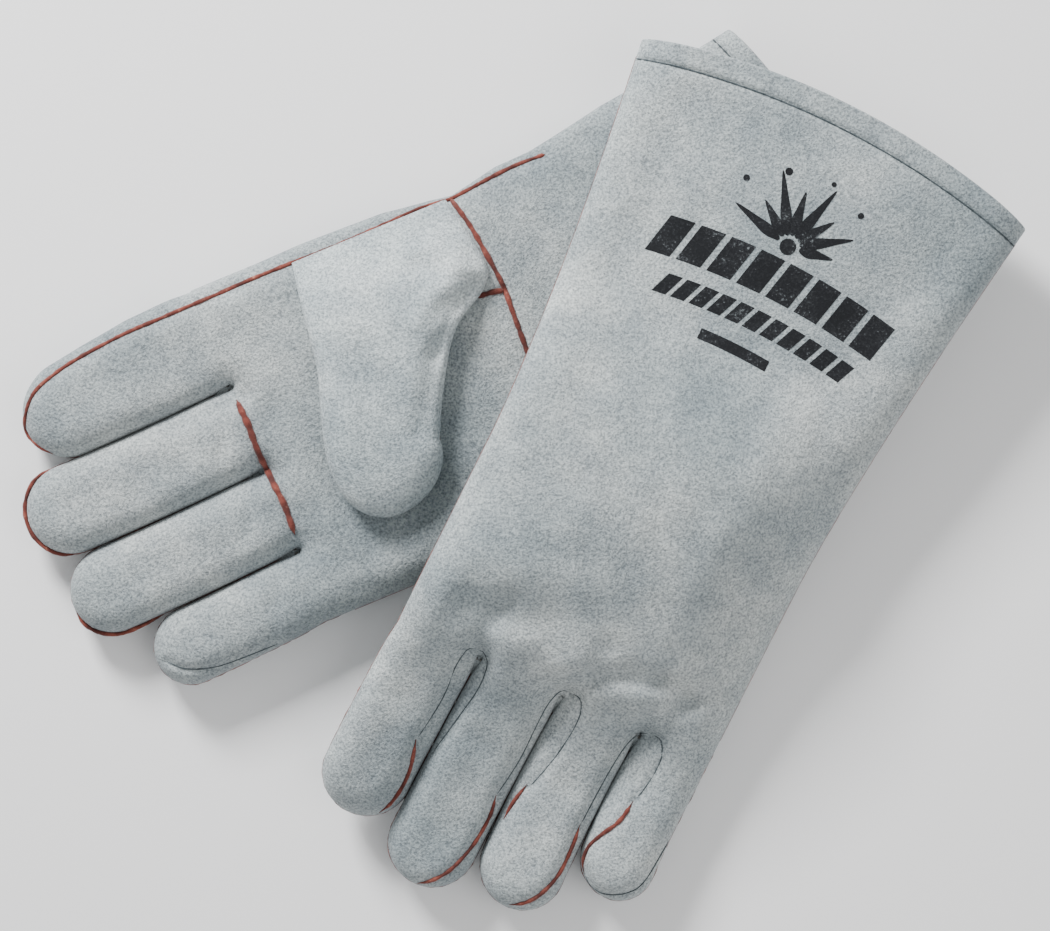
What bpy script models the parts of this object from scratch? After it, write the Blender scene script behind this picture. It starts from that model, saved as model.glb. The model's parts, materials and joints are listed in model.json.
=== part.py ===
"""A pair of split-leather welding gloves, laid one across the other, in metres with +Z up.

The right glove lies palm up on the surface. The left glove lies back up, with its cuff over the
right glove's palm and cuff and its fingertips on the surface. Both are cut from one pattern: a back
panel, a palm panel with a separate cuff, a back and a front for each digit, welts in the seams, and
a fleece lining inside.

A glove has its own frame: +X runs from the knuckle line to the cuff, +Y points to the thumb side,
and the middle of the knuckle line is the origin. Each digit has a frame of its own on its hinge,
with the tip towards -X and the hinge along +Y.
"""
import math
from collections import namedtuple

import bmesh
import bpy
from mathutils import Matrix

# Layers and seams
LEATHER = 0.0015
LINING = 0.0020
LAYER_GAP = 0.0006        # between leather and lining
SIDE_INSET = 0.0036       # how far inside a digit's edge its lining's edge lies
HAND_INSET = 0.0050       # the same for the hand and cuff
WELT_THICK = 0.0009
WELT_PROUD = 0.0010       # how far a welt stands out of its seam
WELT_TUCK = 0.0003        # how far it reaches in between the panels
SEAM_GAP = 0.00035
RIM = 0.0016              # height of a panel's edge above the middle of its side seam

# The hand and cuff
PALM_LENGTH = 0.105       # knuckle line to wrist seam
CUFF_LENGTH = 0.127       # wrist seam to the corners of the cuff's mouth
CUFF_BOW = 0.011          # how far the middle of the mouth stands out past its corners
FLARE_START = 0.028       # how far before the wrist seam the glove starts to widen
HAND_THICK = 0.022
WRIST_THICK = 0.017
MOUTH_THICK = 0.021
HEM_DEPTH = 0.014
HAND_MARGIN = 0.0005      # hand edge outside the outer fingers

# Fingers, from the thumb side: name, width, length from the knuckle line
FINGERS = (
    ("index", 0.0315, 0.077),
    ("middle", 0.0310, 0.087),
    ("ring", 0.0300, 0.080),
    ("little", 0.0270, 0.0615),
)
FINGER_SPACING = 0.0026
FINGER_THICK = 0.022
FINGER_WAIST = 0.96       # width at the knuckle as a share of the full width
KNUCKLE_GAP = 0.0008      # between a finger and the hand

# The thumb folds flat across the palm. Its sections run across it from the root to the tip:
# distance from the root, then its two edges' distances from the knuckle line.
THUMB_SECTIONS = (
    (0.000, 0.037, 0.101),
    (0.016, 0.034, 0.100),
    (0.032, 0.031, 0.094),
    (0.046, 0.028, 0.084),
    (0.062, 0.026, 0.075),
    (0.078, 0.025, 0.067),
)
THUMB_TIP = 0.018         # length of the rounded end past the last section
THUMB_TIP_LEAN = 0.005    # how far the tip leans towards the fingers
THUMB_ROOT_INSET = 0.006  # from the hand's edge to the thumb's root
THUMB_THICK_OPEN = 0.017  # the right thumb, lying free on top
THUMB_THICK_FLAT = 0.011  # the left thumb, pressed flat under its palm

# How the pair lies: the middle of each knuckle line, the way each hand points, the width of each
# cuff's mouth, and how far its middle bends towards the thumb side
RIGHT_PLACE = (-0.0986, 0.0)
RIGHT_TURN = math.radians(22.5)
RIGHT_CUFF_WIDTH = 0.146
RIGHT_BEND = 0.008
LEFT_PLACE = (0.0115, -0.086)
LEFT_TURN = math.radians(63.5)
LEFT_CUFF_WIDTH = 0.159
LEFT_BEND = 0.0
# How far each finger leans, in degrees towards the thumb
RIGHT_LEAN = {"index": -0.8, "middle": -0.6, "ring": -1.7, "little": -2.3}
LEFT_LEAN = {"index": 1.6, "middle": 1.4, "ring": -0.5, "little": -1.3}
DRAPE_RUN = 0.105         # length of the slope from the surface up onto the right glove
DRAPE_OVER = 0.005        # how far inside the right glove's edge the slope ends
REST_GAP = 0.0006

# Mesh steps: shares of the half-width where the columns of a surface are
HAND_COLS = (0.0, 0.22, 0.45, 0.67, 0.84, 0.955, 1.0)
DIGIT_COLS = (0.0, 0.5, 0.86, 1.0)
TOP_ROUND = 2.3           # superellipse exponents of the upper and lower halves
BASE_ROUND = 3.2
FLAT_REST = 0.0004        # how much of the underside's roundness is pressed flat
TIP_ANGLES = (32, 62)
ROW_STEP = 0.015

WRIST_U = PALM_LENGTH
END_U = PALM_LENGTH + CUFF_LENGTH
SEAM_HALF = WELT_THICK / 2 + SEAM_GAP
HAND_WIDTH = (
    sum(width for _, width, _ in FINGERS)
    + FINGER_SPACING * (len(FINGERS) - 1)
    + 2 * HAND_MARGIN
)
Section = namedtuple("Section", "x y full wide half bow skew mid")
COLOURS = {
    "leather": ((0.42, 0.47, 0.49, 1), 0.95),
    "welt": ((0.36, 0.10, 0.07, 1), 0.85),
    "fleece": ((0.80, 0.77, 0.70, 1), 1.0),
    "canvas": ((0.72, 0.68, 0.58, 1), 0.95),
}


def smooth(t):
    """0 before t = 0, 1 after t = 1, and an even curve between."""
    t = min(max(t, 0.0), 1.0)
    return t * t * (3 - 2 * t)


def clear_scene():
    for old in list(bpy.data.objects):
        bpy.data.objects.remove(old)


def material(kind):
    found = bpy.data.materials.get(kind)
    if found:
        return found
    made = bpy.data.materials.new(kind)
    made.use_nodes = True
    shader = made.node_tree.nodes["Principled BSDF"]
    colour, roughness = COLOURS[kind]
    shader.inputs["Base Color"].default_value = colour
    shader.inputs["Roughness"].default_value = roughness
    shader.inputs["Metallic"].default_value = 0.0
    return made


# ---- shapes of the pattern -------------------------------------------------


def hand_half_height(u):
    """Half its thickness: full over the palm, thin at the wrist, and open again at the mouth."""
    thinning = smooth((u - WRIST_U + 0.02) / 0.06)
    opening = smooth((u - WRIST_U - 0.04) / (CUFF_LENGTH - 0.04))
    thick = HAND_THICK + (WRIST_THICK - HAND_THICK) * thinning
    return (thick + (MOUTH_THICK - WRIST_THICK) * opening) / 2


def finger_sections(width, length, lean, side_inset=0.0, inset=0.0):
    """Sections from the hinge towards the tip, which is at -X. They stop short of the tip itself."""
    mid = FINGER_THICK / 2
    full, half = width / 2, mid - inset
    straight = length - full
    slope = math.tan(math.radians(lean))
    made = []
    for share in (0.0, 0.33, 0.66, 1.0):
        wide = full * (FINGER_WAIST + (1 - FINGER_WAIST) * smooth(share * 1.3))
        x = min(-straight * share, -inset / 2)
        made.append(Section(x, -x * slope, wide, wide - side_inset, half, 0.0, 0.0, mid))
    last = made[-1]
    return made + rounded_tip(last, full, side_inset, slope), last.x - full + side_inset


def thumb_sections(thick, side_inset=0.0, inset=0.0):
    """The same for the thumb, whose width and middle change along it."""
    mid = thick / 2
    hinge = thumb_hinge_u()
    made = []
    for along, low, high in THUMB_SECTIONS:
        swell = 0.75 + 0.25 * smooth(along / 0.03)
        centre, wide = hinge - (low + high) / 2, (high - low) / 2
        half = mid * swell - inset
        made.append(Section(-along, centre, wide, wide - side_inset, half, 0.0, 0.0, mid))
    last, slope = made[-1], THUMB_TIP_LEAN / THUMB_TIP
    return made + rounded_tip(last, THUMB_TIP, side_inset, slope), last.x - THUMB_TIP + side_inset


def rounded_tip(last, reach, side_inset, slope):
    """The sections round a digit's end. Its middle keeps leaning at the slope."""
    made = []
    for angle in TIP_ANGLES:
        turn = math.radians(angle)
        ahead = (reach - side_inset) * math.sin(turn)
        made.append(
            Section(
                last.x - ahead,
                last.y + ahead * slope,
                last.full * math.cos(turn),
                last.wide * math.cos(turn),
                last.half * math.cos(turn) ** 0.5,
                0.0,
                0.0,
                last.mid,
            )
        )
    return made


def thumb_hinge_u():
    """Where along the hand the middle of the thumb's root is."""
    _, low, high = THUMB_SECTIONS[0]
    return (low + high) / 2


def crown(share, power):
    """The height of a superellipse at a share of its half-width."""
    return max(1 - abs(share) ** power, 0.0) ** (1 / power)


def section_point(section, share, side, rim=RIM):
    """A point on the upper or lower half of a section. share runs from -1 to 1 across the leather."""
    reach = section.wide / section.full
    y = section.full * min(max(share, -reach), reach)
    power = TOP_ROUND if side > 0 else BASE_ROUND
    height = crown(y / section.wide, power)
    z = section.mid + side * (rim + (section.half - rim) * height)
    z = max(z, section.mid - section.half + FLAT_REST)
    x = section.x + section.bow * (1 - share ** 2) - section.skew * y
    return (x, section.y + y, z)


def edge_point(section, y):
    """A point at the height of the side seam, at a distance from the section's middle."""
    return (section.x - section.skew * y, section.y + y, section.mid)


# ---- mesh builders ---------------------------------------------------------


def new_shell(name, kind, mesh, thickness, offset=-1.0):
    """An object whose surface gets a thickness inwards, or both ways with offset 0."""
    made = bpy.data.objects.new(name, mesh)
    made.data.materials.append(material(kind))
    solid = made.modifiers.new("Thickness", "SOLIDIFY")
    solid.thickness = thickness
    solid.offset = offset
    return made


def lofted(name, kind, rows, thickness, tip=None, closed=False):
    """A shell over rows of points, folded alike in every layer, and facing outwards."""
    bm = bmesh.new()
    made = [[bm.verts.new(point) for point in row] for row in rows]
    end = bm.verts.new(tip) if tip else None
    for i in range(len(made[0]) if closed else len(made[0]) - 1):
        j = (i + 1) % len(made[0])
        for row, following in zip(made, made[1:]):
            bm.faces.new((row[i], row[j], following[j]))
            bm.faces.new((row[i], following[j], following[i]))
        if end:
            bm.faces.new((made[-1][i], made[-1][j], end))
    if rows[-1][0][0] > rows[0][0][0]:
        bmesh.ops.reverse_faces(bm, faces=bm.faces)
    mesh = bpy.data.meshes.new(name)
    bm.to_mesh(mesh)
    bm.free()
    return new_shell(name, kind, mesh, thickness)


def both_ways(shares):
    """Shares of the half-width from one edge to the other."""
    return [-share for share in shares[:0:-1]] + list(shares)


def half_shell(name, kind, sections, side, shares, thickness=LEATHER, tip_x=None):
    """The upper (side 1) or lower (side -1) half of a lofted tube."""
    across = both_ways(shares)[::side]
    rows = [[section_point(s, share, side) for share in across] for s in sections]
    last = sections[-1]
    tip = (tip_x, last.y, last.mid + side * RIM) if tip_x else None
    return lofted(name, kind, rows, thickness, tip)


def whole_tube(name, kind, sections, shares, thickness, tip_x=None):
    """A lofted tube, open at its root, and closed at the tip if it has one."""
    across = both_ways(shares)
    rows = []
    for s in sections:
        over = [section_point(s, share, 1, 0.0) for share in across]
        under = [section_point(s, share, -1, 0.0) for share in across[-2:0:-1]]
        rows.append(over + under)
    last = sections[-1]
    tip = (tip_x, last.y, last.mid) if tip_x else None
    return lofted(name, kind, rows, thickness, tip, closed=True)


def flat_ribbon(name, outer, inner):
    """A welt that lies flat in a side seam, between its outer and its inner line."""
    mesh = bpy.data.meshes.new(name)
    count = len(outer)
    faces = [(i, i + 1, count + i + 1, count + i) for i in range(count - 1)]
    mesh.from_pydata(list(outer) + list(inner), [], faces)
    return new_shell(name, "welt", mesh, WELT_THICK, offset=0.0)


def round_the_digit(sections, tip_x, grow):
    """A line round a digit at its seam, grown outwards, or inwards if grow is negative."""
    last = sections[-1]
    round_from = sections[-1 - len(TIP_ANGLES)].x
    lines = []
    for side in (1, -1):
        line = []
        for s in sections:
            past = max((s.x - round_from) / (tip_x - round_from), 0)
            line.append((s.x - grow * past, s.y + side * (s.wide + grow * (1 - past / 2)), s.mid))
        lines.append(line)
    return lines[0] + [(tip_x - grow, last.y, last.mid)] + lines[1][::-1]


# ---- one glove -------------------------------------------------------------


class Glove:
    """One glove of the pair. Its palm faces up (palm_side 1) or down (palm_side -1)."""

    def __init__(self, name, place, turn, palm_side, lean, cuff_width, bend, drape):
        self.name = name
        self.palm_side = palm_side
        self.lean = lean
        self.cuff_width = cuff_width
        self.bend = bend
        self.drape = drape
        self.matrix = Matrix.Translation((*place, 0)) @ Matrix.Rotation(turn, 4, "Z")
        self.collection = bpy.data.collections["welding_gloves"]
        self.empty = self.add_empty(f"{name}_glove", self.matrix)

    def add_empty(self, name, matrix):
        empty = bpy.data.objects.new(name, None)
        empty.empty_display_size = 0.02
        self.collection.objects.link(empty)
        empty.matrix_world = matrix
        return empty

    def lift_at(self, matrix, x, y, with_thumb):
        """How far the glove is raised over what lies beneath a point of a local frame."""
        here = (matrix @ Matrix.Translation((x, y, 0))).translation
        local = self.matrix.inverted() @ here
        return self.drape(here, local.x, local.y, with_thumb)

    def place(self, obj, empty=None, base=0.0, with_thumb=True):
        """Drapes the piece's points, which are in the empty's frame without its height."""
        parent = empty or self.empty
        matrix = parent.matrix_world
        for vertex in obj.data.vertices:
            raised = self.lift_at(matrix, vertex.co.x, vertex.co.y, with_thumb)
            vertex.co.z += base + raised - matrix.translation.z
        self.collection.objects.link(obj)
        obj.parent = parent
        obj.data.shade_smooth()
        obj.data.set_sharp_from_angle(angle=math.radians(50))

    def sections(self, start, end, side_inset=0.0, inset=0.0):
        """The hand's sections from start to end. Pieces share every station inside them."""
        stations = [start]
        for i in range(1, int(END_U / ROW_STEP) + 1):
            if start + 0.003 < i * ROW_STEP < end - 0.003:
                stations.append(i * ROW_STEP)
        stations.append(end)
        widen_from = WRIST_U - FLARE_START
        made = []
        for u in stations:
            past = max(u - widen_from, 0) / (END_U - widen_from)
            wide = HAND_WIDTH / 2 + (self.cuff_width - HAND_WIDTH) / 2 * past ** 1.5
            skew = 2 * self.bend * past / (END_U - widen_from)
            bow = CUFF_BOW * min(max((u - WRIST_U) / CUFF_LENGTH, 0), 1) ** 2
            half = hand_half_height(u)
            made.append(
                Section(
                    u,
                    self.bend * past ** 2,
                    wide,
                    wide - side_inset,
                    half - inset,
                    bow,
                    skew,
                    half,
                )
            )
        return made

    def build_hand(self):
        palm, back = self.palm_side, -self.palm_side
        start = KNUCKLE_GAP + WELT_THICK + SEAM_GAP
        rows = self.sections(start, END_U)
        self.add_hand_shell("back_panel", rows, back)
        rows = self.sections(start, WRIST_U - SEAM_HALF)
        self.add_hand_shell("palm_panel", rows, palm)
        rows = self.sections(WRIST_U + SEAM_HALF, END_U)
        self.add_hand_shell("cuff_palm_panel", rows, palm)
        self.build_side_welts(self.sections(start, END_U))
        self.build_wrist_welt(palm)
        self.build_finger_base_welt(palm)
        self.build_hand_lining(start)

    def add_hand_shell(self, label, rows, side, kind="leather", thickness=LEATHER):
        name = f"{self.name}_{label}"
        self.place(half_shell(name, kind, rows, side, HAND_COLS, thickness))

    def build_side_welts(self, edge):
        for side, label in ((1, "thumb"), (-1, "little")):
            outer = [edge_point(s, side * (s.wide + WELT_PROUD)) for s in edge]
            inner = [edge_point(s, side * (s.wide - WELT_TUCK)) for s in edge]
            if side > 0:
                outer, inner = inner, outer
            self.place(flat_ribbon(f"{self.name}_{label}_side_welt", outer, inner))

    def build_wrist_welt(self, palm):
        """The welt across the palm side, between the palm and the cuff."""
        ends = (WRIST_U - WELT_THICK / 2, WRIST_U + WELT_THICK / 2)
        proud = WELT_PROUD if palm > 0 else 0.0
        rows = [s._replace(half=s.half + proud) for s in self.sections(*ends)]
        self.add_hand_shell("wrist_welt", rows, palm, "welt", proud + LEATHER)

    def build_finger_base_welt(self, palm):
        """The welt across the roots of the two middle fingers, on the palm side."""
        proud = WELT_PROUD if palm > 0 else 0.0
        middle_edge = self.finger_centre("middle") + self.finger_width("middle") / 2
        ring_edge = self.finger_centre("ring") - self.finger_width("ring") / 2
        steps = 6
        rows = []
        for u in (KNUCKLE_GAP, KNUCKLE_GAP + WELT_THICK):
            section = self.sections(u, END_U)[0]
            section = section._replace(half=section.half + proud)
            line = []
            for i in range(steps + 1):
                v = middle_edge + (ring_edge - middle_edge) * i / steps
                line.append(section_point(section, v / section.full, palm))
            rows.append(line[::-palm])
        self.place(lofted(f"{self.name}_finger_base_welt", "welt", rows, proud + LEATHER))

    def build_hand_lining(self, start):
        hem = END_U - HEM_DEPTH
        spans = (
            ("hand_lining", "fleece", start, WRIST_U - SEAM_GAP, LINING),
            ("cuff_lining", "canvas", WRIST_U + SEAM_GAP, hem - SEAM_GAP, LINING),
            ("cuff_hem", "leather", hem + SEAM_GAP, END_U, LEATHER),
        )
        for label, kind, near, far, thickness in spans:
            outer = self.sections(near, far, HAND_INSET, LEATHER + LAYER_GAP)
            name = f"{self.name}_{label}"
            self.place(whole_tube(name, kind, outer, HAND_COLS[:-1], thickness))

    def finger_width(self, wanted):
        return next(width for name, width, _ in FINGERS if name == wanted)

    def finger_centre(self, wanted):
        """A finger's place across the knuckle line, found from the widths beside it."""
        edge = HAND_WIDTH / 2 - HAND_MARGIN
        for name, width, _ in FINGERS:
            if name == wanted:
                return edge - width / 2
            edge -= width + FINGER_SPACING
        return None

    def digit_empty(self, name, x, y, turn, height, with_thumb=True):
        """A frame on a digit's hinge, raised to the height of the hinge."""
        flat = self.matrix @ Matrix.Translation((x, y, 0)) @ Matrix.Rotation(turn, 4, "Z")
        raised = self.lift_at(flat, 0, 0, with_thumb)
        return self.add_empty(name, Matrix.Translation((0, 0, raised + height)) @ flat)

    def build_finger(self, name, width, length):
        """A finger hinges at the top of its root, so that it can bend upwards freely."""
        label, lean = f"{self.name}_{name}", self.lean[name]
        centre = self.finger_centre(name)
        hinge = self.digit_empty(f"{label}_knuckle", 0, centre, 0, FINGER_THICK)

        def cut(inset, side_inset):
            return finger_sections(width, length, lean, side_inset, inset)

        self.build_digit(label, cut, hinge, LINING)

    def build_digit(self, label, cut, hinge, lining, base=0.0, with_thumb=True, folded=False):
        """A digit's front, back, welt and lining. A folded digit turns its back to the palm's side.

        cut gives its sections at a depth inside its leather, and where they end.
        """
        outer, outer_tip = cut(0.0, 0.0)
        for side in (1, -1):
            part = "front" if (side == self.palm_side) != folded else "back"
            name = f"{label}_{part}"
            shell = half_shell(name, "leather", outer, side, DIGIT_COLS, tip_x=outer_tip)
            self.place(shell, hinge, base, with_thumb)
        welt = [round_the_digit(outer, outer_tip, grow) for grow in (-WELT_TUCK, WELT_PROUD)]
        self.place(flat_ribbon(f"{label}_welt", *welt), hinge, base, with_thumb)
        cloth, cloth_tip = cut(LEATHER + LAYER_GAP, SIDE_INSET)
        name = f"{label}_lining"
        tube = whole_tube(name, "fleece", cloth, DIGIT_COLS[:-1], lining, cloth_tip)
        self.place(tube, hinge, base, with_thumb)

    def build_thumb(self):
        """The thumb lies folded across the palm, above a palm that faces up, or under one."""
        up = self.palm_side > 0
        thick = THUMB_THICK_OPEN if up else THUMB_THICK_FLAT
        base = HAND_THICK + LAYER_GAP if up else 0.0
        label = f"{self.name}_thumb"
        root = HAND_WIDTH / 2 - THUMB_ROOT_INSET
        height = base if up else thick
        turn = math.pi / 2
        hinge = self.digit_empty(f"{label}_root", thumb_hinge_u(), root, turn, height, False)

        def cut(inset, side_inset):
            return thumb_sections(thick, side_inset, inset)

        self.build_digit(label, cut, hinge, LINING if up else LINING / 2, base, False, True)

    def build(self):
        self.build_hand()
        for name, width, length in FINGERS:
            self.build_finger(name, width, length)
        self.build_thumb()


# ---- how the pair lies -----------------------------------------------------


def lie_flat(here, u, v, with_thumb):
    """The lower glove lies on the surface."""
    return 0.0


def make_drape(lower):
    """The upper glove rises from the surface onto the lower one, and over its own folded thumb."""
    to_lower = lower.matrix.inverted()
    edge = -HAND_WIDTH / 2
    thumb_room = THUMB_THICK_FLAT + 2 * LAYER_GAP + REST_GAP
    thumb_low = min(low for _, low, _ in THUMB_SECTIONS)
    thumb_high = max(high for _, _, high in THUMB_SECTIONS)
    thumb_tip = HAND_WIDTH / 2 - THUMB_ROOT_INSET - THUMB_SECTIONS[-1][0] - THUMB_TIP

    def drape(here, u, v, with_thumb):
        there = to_lower @ here
        inside = there.y - edge - DRAPE_OVER + DRAPE_RUN
        thick = 2 * hand_half_height(max(there.x, 0)) + WELT_PROUD + REST_GAP
        raised = thick * smooth(inside / DRAPE_RUN)
        if with_thumb:
            across = smooth((v - thumb_tip + 0.028) / 0.040)
            along = smooth((u - thumb_low + 0.045) / 0.045)
            past = 1 - smooth((u - thumb_high) / 0.050)
            raised += thumb_room * across * along * past
        return raised

    return drape


def centre_on_origin():
    """Moves the pair so that the middle of its base is the origin."""
    bpy.context.view_layer.update()
    graph = bpy.context.evaluated_depsgraph_get()
    pieces = bpy.data.collections["welding_gloves"].objects
    corners = []
    for obj in pieces:
        if obj.type == "MESH":
            seen = obj.evaluated_get(graph)
            corners += [seen.matrix_world @ v.co for v in seen.data.vertices]
    low = [min(c[i] for c in corners) for i in range(3)]
    high = [max(c[i] for c in corners) for i in range(3)]
    shift = Matrix.Translation((-(low[0] + high[0]) / 2, -(low[1] + high[1]) / 2, -low[2]))
    for obj in pieces:
        if obj.type == "EMPTY":
            obj.matrix_world = shift @ obj.matrix_world


def main():
    clear_scene()
    collection = bpy.data.collections.new("welding_gloves")
    bpy.context.scene.collection.children.link(collection)
    right = Glove(
        "right", RIGHT_PLACE, RIGHT_TURN, 1, RIGHT_LEAN, RIGHT_CUFF_WIDTH, RIGHT_BEND, lie_flat
    )
    right.build()
    drape = make_drape(right)
    left = Glove("left", LEFT_PLACE, LEFT_TURN, -1, LEFT_LEAN, LEFT_CUFF_WIDTH, LEFT_BEND, drape)
    left.build()
    centre_on_origin()


main()
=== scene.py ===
import json
import math
import bpy
import numpy as np
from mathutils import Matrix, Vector, geometry, noise


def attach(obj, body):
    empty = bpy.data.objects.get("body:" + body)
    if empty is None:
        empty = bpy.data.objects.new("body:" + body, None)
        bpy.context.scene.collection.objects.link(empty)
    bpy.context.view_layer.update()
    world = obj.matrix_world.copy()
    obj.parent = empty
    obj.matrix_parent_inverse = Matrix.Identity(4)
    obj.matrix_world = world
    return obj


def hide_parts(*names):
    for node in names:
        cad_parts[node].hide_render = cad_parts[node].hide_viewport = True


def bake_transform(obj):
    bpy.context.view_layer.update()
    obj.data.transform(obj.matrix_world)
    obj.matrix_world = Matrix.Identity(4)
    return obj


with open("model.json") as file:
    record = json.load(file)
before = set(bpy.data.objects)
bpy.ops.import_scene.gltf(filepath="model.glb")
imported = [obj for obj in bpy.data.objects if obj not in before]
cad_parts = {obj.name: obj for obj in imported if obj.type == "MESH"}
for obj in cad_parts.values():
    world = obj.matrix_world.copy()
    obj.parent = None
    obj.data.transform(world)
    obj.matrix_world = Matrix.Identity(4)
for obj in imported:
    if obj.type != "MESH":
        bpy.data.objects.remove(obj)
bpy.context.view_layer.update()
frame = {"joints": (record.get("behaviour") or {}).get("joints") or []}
mm = 0.001
joints = {j["name"]: j for j in frame["joints"]}
fingerOrder = ["index", "middle", "ring", "little"]  # from the thumb side

# The cut both gloves share, in mm. u runs from the knuckle line to the cuff, v to the thumb side.
cut = {
    "handHalf": 64.2,
    "wristU": 105.0,
    "endU": 232.0,
    "widenFrom": 77.0,
    "widenPower": 1.5,
    "mouthBow": 11.0,
    "splitU": 10.0,       # where the hand's leather hands over to the fingers'
    "palmThick": 22.0,
    "wristThick": 17.0,
    "mouthThick": 21.0,
    "thinFrom": 85.0,     # the hand thins out between here
    "openFrom": 145.0,    # and here, and then opens towards the mouth
    "indexAcross": 47.9,  # how far the index knuckle lies from the middle line
    "fingerWaist": 0.045,
    "waistRun": 6.5,
    "rowStep": 1.2,
    "tipRows": 14,
    "acrossFinger": 28,   # faces across one finger
}
fingerCut = {
    "index": {"across": 47.9, "half": 16.9},
    "middle": {"across": 14.05, "half": 16.9},
    "ring": {"across": -19.05, "half": 16.3},
    "little": {"across": -50.15, "half": 14.6},
}
gloves = {
    "right": {
        "mouthHalf": 73.0,
        "bend": 8.0,
        "length": {"index": 77.0, "middle": 89.5, "ring": 86.0, "little": 65.0},
        "lean": {"index": -1.7, "middle": -1.6, "ring": -2.3, "little": -3.2},
        "curl": {"index": -0.8, "middle": -0.7, "ring": -0.6, "little": -0.4},
    },
    "left": {
        "mouthHalf": 79.5,
        "bend": 0.0,
        "length": {"index": 74.5, "middle": 88.0, "ring": 80.5, "little": 60.8},
        "lean": {"index": 1.2, "middle": 1.0, "ring": -0.2, "little": -0.9},
        "curl": {"index": 0.5, "middle": 0.4, "ring": 0.9, "little": 1.3},
    },
}


def smooth(t):
    t = np.clip(t, 0.0, 1.0)
    return t * t * (3 - 2 * t)


def unit(arrows):
    return arrows / np.linalg.norm(arrows, axis=1)[:, None]


def outwards(arrows, points):
    # turns all the arrows round if they point to the middle of the points
    return -arrows if ((points - points.mean(0)) * arrows).sum() < 0 else arrows


def gloveFrame(side):
    # the knuckle joints say where the glove lies and which way it points
    knuckle = joints[side + "_index_knuckle"]
    across = np.array(knuckle["axis"][:2], float)
    across /= np.linalg.norm(across)
    along = np.array([across[1], -across[0]])
    origin = np.array(knuckle["pos_m"][:2]) / mm - across * cut["indexAcross"]
    return origin, along, across


for side, g in gloves.items():
    g["origin"], g["along"], g["across"] = gloveFrame(side)


def toWorld(side, u, v):
    g = gloves[side]
    return [g["origin"][k] + u * g["along"][k] + v * g["across"][k] for k in (0, 1)]


def toGlove(side, x, y):
    g = gloves[side]
    dx, dy = x - g["origin"][0], y - g["origin"][1]
    return [dx * g[way][0] + dy * g[way][1] for way in ("along", "across")]


# How far the back's leather stands out past the thumb-side seam of the right glove
sideRoll = {
    "at": [-70, -45, -27, 7, 27, 46, 78, 97, 106, 126, 141, 174, 205, 240],
    "out": [0.8, 4.4, 6.2, 6.2, 6.2, 6.6, 5.6, 2.6, 0.8, 3.2, 2.4, 4.2, 3.4, 2.6],
    "fromShare": 0.55,  # the panel starts to stretch this share of the way to its edge
}


def roll(side, u):
    if side == "left":
        return 0.0 * np.asarray(u, float)
    return np.interp(u, sideRoll["at"], sideRoll["out"])


def rolled(side, u, share):
    start = sideRoll["fromShare"]
    return roll(side, u) * smooth((share - start) / (1 - start))


# The outline, seen from above: the hand and cuff first, then each finger


def handEdge(side, u):
    # middle line, half width and skew of the hand and cuff at a station
    g = gloves[side]
    span = cut["endU"] - cut["widenFrom"]
    past = np.maximum(u - cut["widenFrom"], 0) / span
    half = cut["handHalf"] + (g["mouthHalf"] - cut["handHalf"]) * past ** cut["widenPower"]
    return g["bend"] * past ** 2, half, 2 * g["bend"] * past / span


def handPoint(side, u, share):
    middle, half, skew = handEdge(side, u)
    toMouth = np.clip((u - cut["wristU"]) / (cut["endU"] - cut["wristU"]), 0, 1)
    bow = cut["mouthBow"] * toMouth ** 2
    y = share * half
    return u + bow * (1 - share ** 2) - skew * y, middle + y + rolled(side, u, share)


def fingerLine(side, name, x):
    # middle line and half width of a finger at a distance x from the knuckles
    g, f = gloves[side], fingerCut[name]
    length, r = g["length"][name], f["half"]
    waist = 1.0 - cut["fingerWaist"] * np.exp(-(x / cut["waistRun"]) ** 2)
    past = np.clip((x - (length - r)) / r, 0, 1)
    half = r * waist * np.sqrt(np.maximum(1 - past ** 2, 0))
    middle = f["across"] + x * math.tan(math.radians(g["lean"][name]))
    middle = middle + g["curl"][name] * np.sin(np.pi * x / length)
    if name == "index":
        out = roll(side, -np.asarray(x, float)) / 2 * half / r
        middle, half = middle + out, half + out
    return middle, half


def fingerStations(side, name):
    r = fingerCut[name]["half"]
    straight = gloves[side]["length"][name] - r
    rows = list(np.linspace(0, straight, int(straight / cut["rowStep"]) + 1))
    angles = np.linspace(0, math.pi / 2, cut["tipRows"])[1:-1]
    return np.array(rows + [straight + r * math.sin(a) for a in angles])


def fingerEdge(side, name):
    # the edge from the thumb side to the tip, the tip, and the edge back from it
    xs = fingerStations(side, name)
    c, h = fingerLine(side, name, xs)
    length = gloves[side]["length"][name]
    tip = (-length, float(fingerLine(side, name, length)[0]))
    return list(zip(-xs, c + h)), tip, list(zip(-xs[::-1], (c - h)[::-1]))


def crotch(side, i):
    # the gap between finger i and the next: its middle and half its width at the knuckle line
    (ca, ha), (cb, hb) = (fingerLine(side, fingerOrder[k], 0.0) for k in (i, i + 1))
    low, high = cb + hb, ca - ha
    return (low + high) / 2, (high - low) / 2


def outline(side):
    # the whole edge of the glove as one run of points, open at the cuff's mouth
    us = np.linspace(cut["endU"], 0, 140)
    points = list(zip(*handPoint(side, us, 1.0)))
    for i, name in enumerate(fingerOrder):
        there, tip, back = fingerEdge(side, name)
        points += there + [tip] + back
        if i < 3:
            mid, gap = crotch(side, i)
            for a in np.linspace(math.pi / 2, -math.pi / 2, 9)[1:-1]:
                points.append((gap * math.cos(a), mid + gap * math.sin(a)))
    return np.array(points + list(zip(*handPoint(side, us[::-1], -1.0))))


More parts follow.
